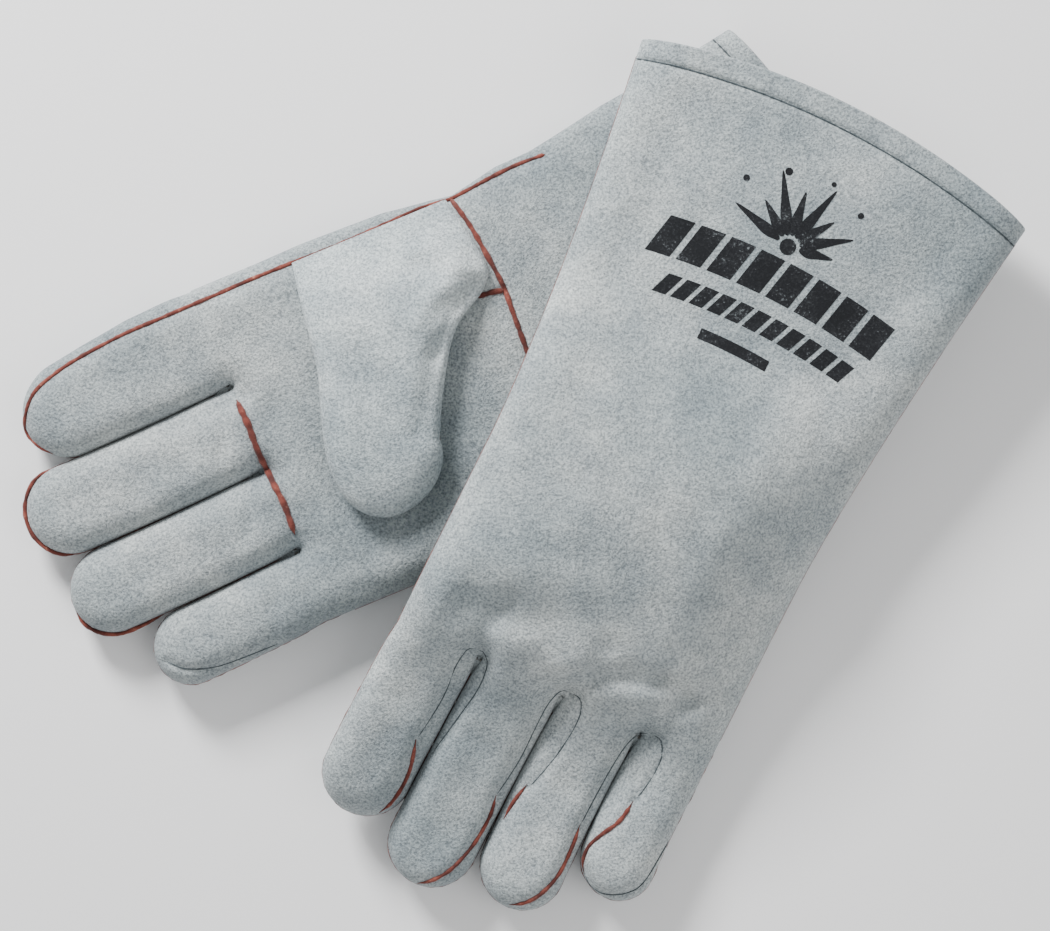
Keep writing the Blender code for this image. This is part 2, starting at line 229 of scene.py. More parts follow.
def distanceTo(line, u, v):
    # distance from points to a run of segments
    a, b = line[:-1], line[1:]
    ab = b - a
    length2 = np.maximum((ab ** 2).sum(1), 1e-12)
    p = np.stack([u.ravel(), v.ravel()], 1)
    best = np.full(len(p), 1e9)
    atOnce = 4000
    for start in range(0, len(p), atOnce):
        q = p[start:start + atOnce, None, :]
        t = np.clip(((q - a) * ab).sum(2) / length2, 0, 1)
        gap = q - (a + t[..., None] * ab)
        best[start:start + atOnce] = np.sqrt((gap ** 2).sum(2)).min(1)
    return best.reshape(u.shape)


def within(ring, u, v):
    # whether points lie inside a closed ring
    hit = np.zeros(u.shape, bool)
    for (ua, va), (ub, vb) in zip(ring, np.roll(ring, -1, axis=0)):
        if va != vb:
            hit ^= ((va > v) != (vb > v)) & (u < (ub - ua) * (v - va) / (vb - va) + ua)
    return hit


for side, g in gloves.items():
    g["outline"] = outline(side)
    mouth = np.stack(handPoint(side, cut["endU"] + 1.0, np.linspace(-1, 1, 25)), 1)
    g["ring"] = np.vstack([g["outline"], mouth])  # closed round the bowed mouth

# How high the leather lies. Each run of two numbers is where a rise starts and how long it takes.
drape = {
    "over": 5.0,
    "run": 105.0,
    "rest": 1.6,
    "thumbRoom": 12.8,  # how far the left thumb lifts its own palm
    "thumbAcross": (-65.9, 40.0),
    "thumbAlong": (-20.0, 45.0),
    "thumbPast": (101.0, 50.0),
}
form = {
    "edgeRound": 12.0,   # how far in from an edge the leather still curves, at the fingers
    "handRound": 17.0,
    "handRun": (-5.0, 60.0),
    "roundPower": 2.1,
    "underReach": 0.75,  # the underside flattens sooner
    "underPower": 2.6,
    "underGap": 0.15,
    "crown": 1.2,
    "crownHalf": 70.0,
    "crownRun": (10.0, 50.0),
    "uneven": [(1.3, 34, 3.1), (0.45, 12, 8.7)],  # height, size and seed
    "pucker": (0.28, 2.6, 5.3, 4.0),              # and how far in from the edge it reaches
}


def ramp(at, run):
    return smooth((at - run[0]) / run[1])


def thickness(u):
    thin = ramp(u, (cut["thinFrom"], cut["openFrom"] - cut["thinFrom"]))
    opened = ramp(u, (cut["openFrom"], cut["endU"] - cut["openFrom"]))
    thick = cut["palmThick"] + (cut["wristThick"] - cut["palmThick"]) * thin
    return thick + (cut["mouthThick"] - cut["wristThick"]) * opened


def rise(side, u, v, overThumb=True):
    # the left glove climbs from the surface onto the right one, and over its own thumb
    if side == "right":
        return np.zeros_like(u)
    there = toGlove("right", *toWorld("left", u, v))
    inward = there[1] + cut["handHalf"] - drape["over"] + drape["run"]
    up = (thickness(np.maximum(there[0], 0)) + drape["rest"]) * smooth(inward / drape["run"])
    if not overThumb:
        return up
    under = ramp(v, drape["thumbAcross"]) * ramp(u, drape["thumbAlong"])
    return up + drape["thumbRoom"] * under * (1 - ramp(u, drape["thumbPast"]))


def rounded(x, power=form["roundPower"]):
    x = np.clip(x, 0, 1)
    return (1 - (1 - x) ** power) ** (1 / power)


# Folds pressed into the leather: from u, v to u, v, half width and depth (a ridge if negative)
folds = {
    "right": [
        (3, 60, 2, 28, 4.0, 1.2), (8, -26, 16, -60, 6.0, 1.6), (-20, 56, -22, 40, 5.0, 0.7),
        (-24, 24, -28, 8, 4.5, 0.9), (-45, 22, -47, 6, 4.0, 0.6), (-22, -12, -26, -32, 4.5, 0.9),
        (-44, -14, -46, -32, 4.0, 0.6), (-14, -42, -18, -60, 4.0, 0.8), (14, 14, 30, -46, 9.0, 1.8),
        (60, -30, 96, -58, 8.0, 1.4), (118, 60, 126, 6, 7.0, 1.6), (138, 62, 150, 20, 8.0, -1.1),
        (160, 66, 172, 10, 9.0, 1.3), (4, 26, -26, 27, 3.4, 1.6), (-6, 24, -12, 8, 3.0, 1.1),
        (3, -5, -26, -4, 3.4, 1.6), (-8, -8, -16, -24, 3.2, 1.0), (2, -33, -24, -35, 3.4, 1.4),
        (-6, -38, -16, -50, 3.2, 1.0),
    ],
    "left": [
        (13, -10, 22, -32, 4.2, 3.4), (22, -32, 19, -46, 4.0, 3.0), (19, -46, 33, -60, 4.2, 2.6),
        (6, -14, 14, -30, 5.0, -1.2), (12, 2, 17, -12, 5.0, -1.6), (17, 42, 21, 14, 8.0, 3.6),
        (8, 35, 24, 31, 4.0, 2.0), (6, 24, 20, 12, 6.0, -1.4), (34, 50, 40, 10, 9.0, -1.2),
        (8, -8, 24, -10, 5.0, 1.2), (8, -42, 22, -44, 4.5, 1.2), (-26, 56, -28, 40, 6.0, 0.9),
        (-30, 22, -31, 6, 6.0, 0.8), (-30, -12, -29, -28, 6.0, 0.8), (-18, -44, -17, -58, 5.0, 0.8),
        (60, 58, 110, 40, 12.0, 1.5), (112, -60, 120, 10, 14.0, 1.3), (150, 50, 214, 58, 12.0, 1.2),
        (160, -40, 220, -60, 12.0, 1.2), (3, 31.5, -30, 32.4, 4.0, 3.0),
        (-2, 35.5, -20, 35.5, 3.5, 1.6), (3, -3, -34, -2.6, 3.6, 2.4), (1, -7, -16, -7, 3.4, 1.3),
        (3, -35.5, -30, -35.4, 3.6, 2.4), (1, -40, -14, -40.5, 3.4, 1.3),
    ],
    "sway": 1.5,  # how far the middle of a fold lies off its straight line
}
grooves = {"right": [], "left": []}  # what the seams press in: line, half width, depth, top or both


def hollow(line, u, v, width, depth):
    return depth * np.exp(-(distanceTo(line, u, v) / width) ** 2)


def foldDepth(side, u, v):
    total = np.zeros_like(u)
    for u1, v1, u2, v2, width, depth in folds[side]:
        line = np.array([[u1, v1], [(u1 + u2) / 2 + folds["sway"], (v1 + v2) / 2], [u2, v2]])
        total -= hollow(line, u, v, width, depth)
    return total


def grooveDepth(side, u, v, top):
    total = np.zeros_like(u)
    for line, width, depth, where in grooves[side]:
        if where is None or where == top:
            total -= hollow(line, u, v, width, depth)
    return total


def softNoise(u, v, size, seed):
    flat = [noise.noise(Vector((a / size, b / size, seed))) for a, b in zip(u.ravel(), v.ravel())]
    return np.array(flat).reshape(u.shape)


def heights(side, u, v, d, top):
    # d is the distance in from the glove's edge
    thick = thickness(np.maximum(u, 0))
    mid = thick / 2
    reach = form["edgeRound"] + (form["handRound"] - form["edgeRound"]) * ramp(u, form["handRun"])
    base = rise(side, u, v)
    pressed = grooveDepth(side, u, v, top)
    if not top:
        share = rounded(d / (reach * form["underReach"]), form["underPower"])
        return base + mid - (mid - form["underGap"]) * share - pressed * np.clip(d / 3, 0, 1)
    crown = form["crown"] * ramp(u, form["crownRun"])
    crown = crown * np.clip(1 - (v / form["crownHalf"]) ** 2, 0, 1)
    uneven = sum(tall * softNoise(u, v, size, seed) for tall, size, seed in form["uneven"])
    lift = (thick - mid) + crown + uneven * np.clip(d / 10, 0, 1)
    tall, size, seed, fade = form["pucker"]
    pucker = tall * softNoise(u, v, size, seed) * np.exp(-d / fade) * np.clip(d, 0, 1)
    folded = foldDepth(side, u, v) * np.clip(d / 6, 0, 1) + pressed * np.clip(d / 2, 0, 1)
    return base + mid + lift * rounded(d / reach) + folded + pucker


# Sheets of leather: grids of points, welded and cut up into pieces


def newPiece(name, points, faces, material, normals=None, uv=None):
    # a mesh object from points in mm, without repeated corners and the faces they leave with fewer
    # than three
    mesh = bpy.data.meshes.new(name)
    clean = []
    for face in faces.tolist():
        corners = [c for i, c in enumerate(face) if c != face[i - 1]]
        if len(set(corners)) > 2:
            clean.append(corners)
    mesh.from_pydata((points * mm).tolist(), [], clean)
    mesh.shade_smooth()
    if uv is not None:
        layer = mesh.uv_layers.new(name="cloth")
        corner = np.zeros(len(mesh.loops), np.int32)
        mesh.loops.foreach_get("vertex_index", corner)
        layer.data.foreach_set("uv", (uv[corner] * mm).astype(np.float32).ravel())
    if normals is not None:
        mesh.normals_split_custom_set_from_vertices(normals.tolist())
    mesh.materials.append(material)
    return placed(name, mesh)


def placed(name, data):
    obj = bpy.data.objects.new(name, data)
    bpy.context.scene.collection.objects.link(obj)
    return obj


def quadNormals(p):
    return np.cross(p[:, 2] - p[:, 0], p[:, 3] - p[:, 1])


class Sheets:
    # grids of points welded where they meet, and cut up into pieces by the owner's name

    def __init__(self):
        self.points, self.faces, self.owner, self.count = [], [], [], 0

    def grid(self, points, owner, up, closeTo=None):
        # each point is x, y, z and then its u and v
        rows, cols = points.shape[:2]
        index = np.arange(rows * cols).reshape(rows, cols) + self.count
        a, b, c, d = index[:-1, :-1], index[:-1, 1:], index[1:, 1:], index[1:, :-1]
        quads = np.stack([a, b, c, d], 2).reshape(-1, 4)
        flat = points.reshape(-1, points.shape[2])
        corner = flat[quads - self.count, :3]
        self.points.append(flat)
        self.count += rows * cols
        if closeTo is not None:
            self.points.append(np.array([closeTo]))
            last = index[-1]
            tips = np.stack([last[:-1], last[1:]] + [np.full(cols - 1, self.count)] * 2, 1)
            quads = np.concatenate([quads, tips])
            self.count += 1
        if (quadNormals(corner)[:, 2].sum() > 0) != up:
            quads = quads[:, ::-1]
        self.faces.append(quads)
        self.owner += [owner] * len(quads)

    def weld(self, near=0.02):
        points = np.concatenate(self.points)
        faces = np.concatenate(self.faces)
        keys = np.round(points[:, :3] / near).astype(np.int64)
        _, first, index = np.unique(keys, axis=0, return_index=True, return_inverse=True)
        self.points, self.uv = points[first, :3], points[first, 3:]
        self.faces = index.reshape(-1)[faces]
        self.owner = np.array(self.owner)
        normal = np.zeros_like(self.points)
        for k in range(4):
            np.add.at(normal, self.faces[:, k], quadNormals(self.points[self.faces]))
        self.normals = normal / np.maximum(np.linalg.norm(normal, axis=1), 1e-9)[:, None]

    def piece(self, name, owner, material, inward=0.0, keep=None):
        # the leather itself, or with inward the lining that lies that far inside it
        chosen = self.owner == owner
        if keep is not None:
            chosen &= keep(*self.uv[self.faces].mean(1).T)
        used, index = np.unique(self.faces[chosen], return_inverse=True)
        faces = index.reshape(-1, 4)
        points, normals = self.points[used] - inward * self.normals[used], self.normals[used]
        if inward:
            faces, normals = faces[:, ::-1], -normals
        return newPiece(name, points, faces, material, normals, self.uv[used])


def place(side, u, v, z):
    x, y = toWorld(side, u, v)
    return np.stack(np.broadcast_arrays(x, y, z, u, v), -1)


def fingerGrid(side, i):
    # u, v and d over one finger, from the split line to just short of the tip
    name = fingerOrder[i]
    turn = np.cos(np.linspace(0, math.pi, cut["acrossFinger"] + 1))
    xs = fingerStations(side, name)
    c, h = fingerLine(side, name, xs)
    u = [np.full_like(turn, -x) for x in xs]
    v = [c[k] + h[k] * turn for k in range(len(xs))]
    edge = [(True, True)] * len(xs)
    high = crotch(side, i - 1) if i > 0 else None
    low = crotch(side, i) if i < 3 else None
    widest = max(g[1] for g in (high, low) if g)
    lead = [widest * s for s in (0.45, 0.8, 1.0)]
    lead += list(np.linspace(widest, cut["splitU"], 9)[1:])
    for x in lead:
        middle, half, _ = handEdge(side, x)
        ends = []
        for gap, way in ((high, 1), (low, -1)):
            curved = gap and gap[0] + way * math.sqrt(max(gap[1] ** 2 - x ** 2, 0))
            ends.append(curved if gap else middle + way * half)
        top, bottom = ends
        u.insert(0, np.full_like(turn, x))
        line = (top + bottom) / 2 + (top - bottom) / 2 * turn
        share = (line - middle) / half
        v.insert(0, line + rolled(side, x, share))
        edge.insert(0, [gap is None or x < gap[1] for gap in (high, low)])
    u, v = np.array(u), np.array(v)
    d = distanceTo(gloves[side]["outline"], u, v)
    for k, (a, b) in enumerate(edge):
        d[k, 0] = 0 if a else d[k, 0]
        d[k, -1] = 0 if b else d[k, -1]
    return u, v, d, share


def handStations():
    # even rows, and close ones where the hem's seam is pressed in
    hem = cut["endU"] - seamCut["hemInset"]
    close = hem + np.array([-1.6, -1.1, -0.75, -0.4, 0, 0.4, 0.75, 1.1, 1.6])
    before = np.arange(cut["splitU"], close[0] - 0.5, cut["rowStep"])
    return np.concatenate([before, close, np.linspace(close[-1], cut["endU"], 6)[1:]])


def handRows(side, us, shares):
    # u, v and d for rows of the hand, whose two ends lie on the edge
    u, v = (np.array(c) for c in zip(*(handPoint(side, x, shares) for x in us)))
    d = distanceTo(gloves[side]["outline"], u, v)
    d[:, 0] = d[:, -1] = 0
    return u, v, d


# Lines sewn on the leather: how, on which finger, and through which u and v. A "bead" shows the
# red leather between two panels, a "crease" only its thread.
seams = {
    "right": {
        "thumbSide": ("bead", None, [
            (143, 66.6), (132, 67.0), (121, 66.4), (104, 64.7), (92, 65.6), (76, 65), (55, 64.6),
            (39, 65), (23, 65.1), (10, 64.8)]),
        "indexSide": ("bead", "index", [
            (17, 65.0), (10, 64.8), (3, 64.8), (-11, 64.6), (-29, 64.4), (-48, 62.6), (-59, 60.4),
            (-68, 57.2), (-74, 51.6), (-77.3, 45), (-74.9, 38), (-71, 33.2)]),
        "wrist": ("bead", None, [
            (103.8, 64.7), (106.7, 52.2), (108.3, 39.4), (109.5, 26.8), (109.1, 16.8), (108.5, 3),
            (107.5, -20), (106, -45), (105, -63)]),
        "wristEnd": ("bead", None, [(97.5, 27.6), (101, 26.4), (105, 26), (109.2, 25)]),
        "fingerBase": ("bead", None, [
            (0.8, 25.6), (1.4, 15), (0.9, 4), (1.5, -7.2), (2.4, -17.7), (1.7, -29.5)]),
        "little": ("crease", "little", [
            (-20, -65), (-34, -64.8), (-45, -64), (-55, -60.5), (-61, -55)]),
    },
    "left": {
        "indexSide": ("bead", "index", [
            (-38, 38.6), (-44, 36.9), (-50, 35.6), (-57, 35.4), (-64, 36.4), (-69.5, 38.6)]),
        "middleSide": ("bead", "middle", [
            (-44, 2.4), (-50, 1.2), (-56, 1.0), (-66, 2.0), (-77, 5.4), (-84, 10.2), (-87.2, 14)]),
        "ringInner": ("bead", "ring", [(-35, -6.2), (-41, -5.0), (-46, -4.4), (-51, -4.2)]),
        "ringSide": ("bead", "ring", [
            (-40, -30.8), (-49, -31.8), (-60, -31.9), (-69, -29.4), (-75, -25.6), (-79, -20.5)]),
        "littleSide": ("bead", "little", [
            (-23, -44.6), (-32, -43.2), (-40, -39.4), (-46, -37.4), (-52, -38), (-56, -40.5)]),
        "uIndexA": ("crease", "index", [
            (2.4, 34), (0.8, 36.6), (-7, 37.6), (-20, 36.6), (-38, 38.4)]),
        "uIndexB": ("crease", "middle", [
            (2.4, 34), (2.6, 30.5), (-1.5, 27.2), (-11, 26.4), (-24, 28.2), (-40, 30.8)]),
        "uMiddleA": ("crease", "middle", [
            (3.4, -5.4), (2.2, -1.6), (-4, 0.4), (-14, 0.6), (-28, 0.4), (-44, 2.2)]),
        "uMiddleB": ("crease", "ring", [
            (3.4, -5.4), (2.6, -9.6), (-3, -12), (-12, -12.2), (-24, -10.4), (-36, -7.4)]),
        "uRingA": ("crease", "ring", [
            (2.4, -39.6), (0.8, -35.6), (-5, -33), (-14, -31.9), (-26, -31.4), (-40, -31)]),
        "uRingB": ("crease", "little", [
            (2.4, -39.6), (2.2, -43.4), (-3, -46.4), (-10, -47), (-17, -46.2), (-23, -44.8)]),
        "littleTip": ("crease", "little", [
            (-56, -40.5), (-59, -45), (-59.2, -51), (-55, -58), (-48, -62), (-30, -63.6)]),
    },
}
under = {  # the left palm's two seams, which its back hides
    "wrist": [(106, 62), (107.5, 30), (107, 0), (106, -30), (105, -62)],
    "fingerBase": [(1.2, 30), (1.6, 0), (1.2, -34)],
}
seamCut = {
    "step": 1.0,
    "beadGroove": (2.1, 1.0),    # half width and depth pressed in beside a bead
    "creaseGroove": (1.5, 1.5),
    "hemGroove": (1.1, 1.2),
    "hemInset": 7.0,
    "beadRadius": 0.82,
    "beadUneven": 0.22,
    "sideUneven": 0.08,
    "creaseRadius": 0.26,
    "creaseUneven": 0.3,
    "creaseTaper": 4.0,
    "threadRadius": 0.34,
    "stitch": 2.9,
    "stitchEvery": 3.5,
}


def through(points, step=seamCut["step"]):
    # a smooth line through the points, in steps of one length
    p = np.array(points, float)
    ends = np.vstack([2 * p[0] - p[1], p, 2 * p[-1] - p[-2]])
    line = []
    for k in range(len(p) - 1):
        a, b, c, d = ends[k:k + 4]
        t = np.linspace(0, 1, 14, endpoint=False)[:, None]
        line.append(0.5 * (2 * b + (c - a) * t + (2 * a - 5 * b + 4 * c - d) * t ** 2
                           + (3 * b - a - 3 * c + d) * t ** 3))
    line = np.vstack(line + [p[-1:]])
    run = np.concatenate([[0], np.cumsum(np.linalg.norm(np.diff(line, axis=0), axis=1))])
    at = np.linspace(0, run[-1], max(int(run[-1] / step), 2) + 1)
    return np.stack([np.interp(at, run, line[:, k]) for k in range(p.shape[1])], 1)


def onLeather(side, line, top=True, lift=0.0):
    u, v = line[:, 0], line[:, 1]
    g = gloves[side]
    d = np.where(within(g["ring"], u, v), distanceTo(g["outline"], u, v), 0.0)
    return place(side, u, v, heights(side, u, v, d, top) + (lift if top else -lift))


def hemLine(side, shares):
    return np.stack(handPoint(side, cut["endU"] - seamCut["hemInset"], shares), 1)


for side in gloves:
    for kind, name, points in seams[side].values():
        grooves[side].append((through(points, 1.5), *seamCut[kind + "Groove"], True))
    grooves[side].append((hemLine(side, np.linspace(-1, 1, 80)), *seamCut["hemGroove"], None))

# Finishes and sewn lines are both made of nodes


class Nodes:
    # a node tree and one way of adding to it

    def __init__(self, tree):
        self.tree = tree

    def feed(self, made, *values, **named):
        # fills a node's inputs in order or by name, with values, sockets or nodes
        named = {key.replace("_", " "): value for key, value in named.items()}
        for key, value in [*enumerate(values), *named.items()]:
            if isinstance(value, bpy.types.Node):
                value = value.outputs[0]
            if isinstance(value, bpy.types.NodeSocket):
                self.tree.links.new(value, made.inputs[key])
            else:
                made.inputs[key].default_value = value
        return made

    def add(self, kind, *values, **named):
        # a name in small letters is a setting of the node, any other is an input
        made = self.tree.nodes.new(kind)
        for key in [key for key in named if key.islower()]:
            setattr(made, key, named.pop(key))
        return self.feed(made, *values, **named)

    def math(self, how, a, b):
        return self.add("ShaderNodeMath", a, b, operation=how).outputs[0]


class Finish(Nodes):
    # a material, with its sizes in mm

    def __init__(self, name, roughness, sheen=0.0, sheenRoughness=0.5, specular=0.3):
        self.material = bpy.data.materials.new(name)
        self.material.use_nodes = True
        super().__init__(self.material.node_tree)
        self.shader = self.tree.nodes["Principled BSDF"]
        self.feed(self.shader, Roughness=roughness, Sheen_Weight=sheen,
                  Sheen_Roughness=sheenRoughness, Specular_IOR_Level=specular)
        self.place = self.add("ShaderNodeTexCoord").outputs["Object"]

    def noise(self, size, detail=2.0, rough=0.5):
        # size is the width of one blotch
        return self.add("ShaderNodeTexNoise", Vector=self.place, Scale=1000 / size, Detail=detail,
                        Roughness=rough).outputs["Fac"]

    def ramp(self, value, *stops):
        # a stop is a position and its colour, or one number for a grey
        made = self.add("ShaderNodeValToRGB", value)
        ramp = made.color_ramp
        while len(ramp.elements) < len(stops):
            ramp.elements.new(0.5)
        for element, (position, color) in zip(ramp.elements, stops):
            element.position = position
            element.color = (*color, 1) if isinstance(color, tuple) else (color, color, color, 1)
        return made.outputs["Color"]

    def shade(self, a, b, amount):
        # darkens and lightens one colour by another
        made = self.add("ShaderNodeMix", amount, data_type="RGBA", blend_type="MULTIPLY")
        self.tree.links.new(a, made.inputs[6])
        self.tree.links.new(b, made.inputs[7])
        return made.outputs[2]

    def bump(self, *layers):
        # stacked bumps: height, strength and depth
        below = {}
        for value, strength, depth in layers:
            below["Normal"] = self.add("ShaderNodeBump", Strength=strength, Distance=depth * mm,
                                       Height=value, **below)
        self.feed(self.shader, **below)

    def color(self, value):
        self.feed(self.shader, Base_Color=value)
        return self.material


def suede(name, light):
    # split leather with a raised nap; light scales its three greys, and the lighter and darker copies
    # of one suede paint light and shade
    f = Finish(name, 0.93, sheen=0.14, sheenRoughness=0.6, specular=0.16)
    nap = f.noise(0.92, 2.5, 0.72)
    grain = f.noise(2.3, 3.0, 0.6)
    patch = f.noise(15, 3.0, 0.6)
    cloud = f.noise(58, 2.0, 0.5)
    greys = [(0.255, 0.298, 0.316), (0.345, 0.386, 0.4), (0.43, 0.463, 0.468)]
    deep, middle, pale = (tuple(light * c for c in grey) for grey in greys)
    tone = f.ramp(cloud, (0.32, deep), (0.5, middle), (0.68, pale))
    tone = f.shade(tone, f.ramp(patch, (0.34, (0.84, 0.86, 0.875)), (0.66, (1.13, 1.12, 1.1))), 0.9)
    tone = f.shade(tone, f.ramp(grain, (0.38, (0.92, 0.925, 0.93)), (0.62, (1.08, 1.08, 1.075))), 0.9)
    speck = f.ramp(nap, (0.36, (0.5, 0.52, 0.54)), (0.5, 1.0), (0.64, (1.45, 1.43, 1.4)))
    f.bump((patch, 0.45, 2.2), (grain, 0.4, 0.7), (nap, 1.0, 0.6))
    return f.color(f.shade(tone, speck, 0.85))


# the right palm's copy is darker for painted shade and the right thumb's copy lighter for painted
# light
leather = {"left": suede("suedeBack", 0.97), "right": suede("suedePalm", 0.88)}
thumbLeather = {"left": leather["left"], "right": suede("suedeThumb", 1.2)}

f = Finish("brickWelt", 0.78, sheen=0.2, specular=0.25)
rubAndHighlight = f.noise(1.6, 3.0, 0.7)
body = f.ramp(f.noise(6, 2.0), (0.34, (0.085, 0.022, 0.017)), (0.55, (0.19, 0.05, 0.036)),
              (0.75, (0.32, 0.1, 0.07)))
# pale pink spots on the red cord: partly rub wear, partly painted highlight
wearAndHighlight = f.ramp(rubAndHighlight, (0.45, (0.75, 0.6, 0.6)), (0.62, 1.0), (0.74, (1.9, 2.9, 2.9)))
f.bump((rubAndHighlight, 0.7, 0.35), (f.noise(0.5, 2.0), 0.5, 0.12))
weltRed = f.color(f.shade(body, wearAndHighlight, 0.9))

f = Finish("waxedThread", 0.6, specular=0.35)
twist = f.add("ShaderNodeTexWave", Scale=900, Vector=f.place, wave_type="BANDS",
              bands_direction="DIAGONAL")
f.bump((twist.outputs["Fac"], 0.6, 0.06))
threadDark = f.color(f.ramp(f.noise(3.0), (0.35, (0.035, 0.048, 0.055)),
                            (0.7, (0.085, 0.105, 0.115))))

f = Finish("cottonFleece", 0.97, sheen=0.4, specular=0.1)
curl = f.noise(1.9, 4.0, 0.75)
wool = f.ramp(f.noise(14, 3.0), (0.3, (0.5, 0.47, 0.4)), (0.7, (0.66, 0.63, 0.56)))
f.bump((curl, 1.0, 1.1), (f.noise(0.6, 2.0), 0.6, 0.3))
fleece = f.color(f.shade(wool, f.ramp(curl, (0.35, 0.6), (0.65, 1.15)), 0.8))

f = Finish("cottonCanvas", 0.92, specular=0.15)
weavePitch = 1.1
split = f.add("ShaderNodeSeparateXYZ", f.add("ShaderNodeUVMap", uv_map="cloth"))
waves = [f.math("SINE", f.math("MULTIPLY", split.outputs[axis], 2 * math.pi / (weavePitch * mm)), 0.0)
         for axis in ("X", "Y")]
cross = f.math("MULTIPLY", *waves)
cloth = f.ramp(f.noise(20, 3.0), (0.3, (0.42, 0.41, 0.36)), (0.7, (0.54, 0.53, 0.47)))
threads = f.ramp(f.math("ADD", f.math("MULTIPLY", cross, 0.5), 0.5), (0.1, 0.68), (0.9, 1.1))
f.bump((cross, 0.7, 0.25), (f.noise(0.7, 2.0), 0.4, 0.1))
canvas = f.color(f.shade(cloth, threads, 0.8))

f = Finish("blackPrint", 0.85, sheen=0.1, specular=0.2)
napIn = f.noise(0.95, 3.0, 0.75)
worn = f.math("ADD", f.math("MULTIPLY", napIn, 0.7), f.math("MULTIPLY", f.noise(9, 3.0), 0.35))
f.bump((napIn, 0.85, 0.34))
ink = f.color(f.ramp(worn, (0.5, (0.008, 0.009, 0.011)), (0.62, (0.02, 0.022, 0.025)),
                     (0.7, (0.16, 0.18, 0.19))))
print("finishes: made", len(bpy.data.materials))


class SewingTree(Nodes):
    # takes a mesh of edges and named sizes, and ends realized in one material

    def __init__(self, name, *sizes):
        super().__init__(bpy.data.node_groups.new(name, "GeometryNodeTree"))
        for item, kind, way in [("Geometry", "Geometry", "INPUT"), ("Geometry", "Geometry", "OUTPUT"),
                                *((size, "Float", "INPUT") for size in sizes),
                                ("Material", "Material", "INPUT")]:
            self.tree.interface.new_socket(name=item, in_out=way, socket_type="NodeSocket" + kind)
        self.given = self.add("NodeGroupInput").outputs
        self.curve = self.add("GeometryNodeMeshToCurve", self.given["Geometry"])

    def end(self, shape):
        whole = self.add("GeometryNodeRealizeInstances", shape)
        whole = self.add("GeometryNodeSetMaterial", whole, Material=self.given["Material"])
        self.add("NodeGroupOutput", whole)
        return self.tree


def beadTree():
    # sweeps a slightly uneven cord along every line; its ends thin out over the taper's length
    t = SewingTree("sewnBead", "Radius", "Uneven", "Taper")
    blotch = t.add("ShaderNodeTexNoise", t.add("GeometryNodeInputPosition"), Scale=330)
    spread = t.add("ShaderNodeMapRange", blotch.outputs["Fac"], From_Min=0.3, From_Max=0.7,
                   To_Min=t.math("SUBTRACT", 1.0, t.given["Uneven"]),
                   To_Max=t.math("ADD", 1.0, t.given["Uneven"]))
    along = t.add("GeometryNodeSplineParameter").outputs["Length"]
    total = t.add("GeometryNodeSplineLength").outputs["Length"]
    nearest = t.math("MINIMUM", along, t.math("SUBTRACT", total, along))
    ends = t.add("ShaderNodeMapRange", t.math("DIVIDE", nearest, t.given["Taper"]), To_Min=0.12,
                 interpolation_type="SMOOTHSTEP")
    line = t.add("GeometryNodeSetCurveRadius", t.curve, Radius=t.math("MULTIPLY", ends, spread))
    ring = t.add("GeometryNodeCurvePrimitiveCircle", Resolution=8, Radius=t.given["Radius"])
    sweep = t.add("GeometryNodeCurveToMesh", line, ring, Fill_Caps=True)
    if "Scale" in sweep.inputs:  # newer releases take the radius here
        t.feed(sweep, Scale=t.add("GeometryNodeInputRadius"))
    return t.end(sweep)


def stitchTree():
    # lays short stitches end to end along every line
    t = SewingTree("threadStitches", "Thread", "Stitch", "Every")
    points = t.add("GeometryNodeCurveToPoints", t.curve, Length=t.given["Every"], mode="LENGTH")
    turn = t.add("FunctionNodeAlignRotationToVector", Vector=points.outputs["Tangent"], axis="X")
    size = t.add("ShaderNodeCombineXYZ", t.math("MULTIPLY", t.given["Stitch"], 0.5),
                 t.given["Thread"], t.given["Thread"])
    grain = t.add("GeometryNodeMeshUVSphere", Segments=6, Rings=6)
    lying = t.add("GeometryNodeTransform", grain, Rotation=(0, math.pi / 2, 0))
    return t.end(t.add("GeometryNodeInstanceOnPoints", points, Instance=lying, Rotation=turn,
                       Scale=size))


trees = {"bead": beadTree(), "stitch": stitchTree()}


def sewn(name, lines, kind, material, **values):
    # lines are runs of points in mm; the named values go to the tree's inputs
    points = np.concatenate([line[:, :3] for line in lines])
    starts = np.cumsum([0] + [len(line) for line in lines])
    edges = [(k, k + 1) for a, b in zip(starts, starts[1:]) for k in range(a, b - 1)]
    mesh = bpy.data.meshes.new(name + "Line")
    mesh.from_pydata((points * mm).tolist(), edges, [])
    obj = placed(name + "Line", mesh)
    modifier = obj.modifiers.new("sew", "NODES")
    modifier.node_group = trees[kind]
    values["Material"] = material
    for item in trees[kind].interface.items_tree:
        if item.in_out == "INPUT" and item.name in values:
            modifier[item.identifier] = values[item.name]
    bpy.context.view_layer.update()
    graph = bpy.context.evaluated_depsgraph_get()
    made = bpy.data.meshes.new_from_object(obj.evaluated_get(graph), depsgraph=graph)
    made.name = name
    obj.modifiers.clear()
    bpy.data.objects.remove(obj)
    made.shade_smooth()
    return placed(name, made)


def bead(name, lines, radius=seamCut["beadRadius"], taper=0.01, uneven=seamCut["beadUneven"]):
    return sewn(name, lines, "bead", weltRed, Radius=radius * mm, Uneven=uneven, Taper=taper * mm)


def crease(name, lines):
    return sewn(name, lines, "bead", threadDark, Radius=seamCut["creaseRadius"] * mm,
                Uneven=seamCut["creaseUneven"], Taper=seamCut["creaseTaper"] * mm)


def stitches(name, lines):
    return sewn(name, lines, "stitch", threadDark, Thread=seamCut["threadRadius"] * mm,
                Stitch=seamCut["stitch"] * mm, Every=seamCut["stitchEvery"] * mm)


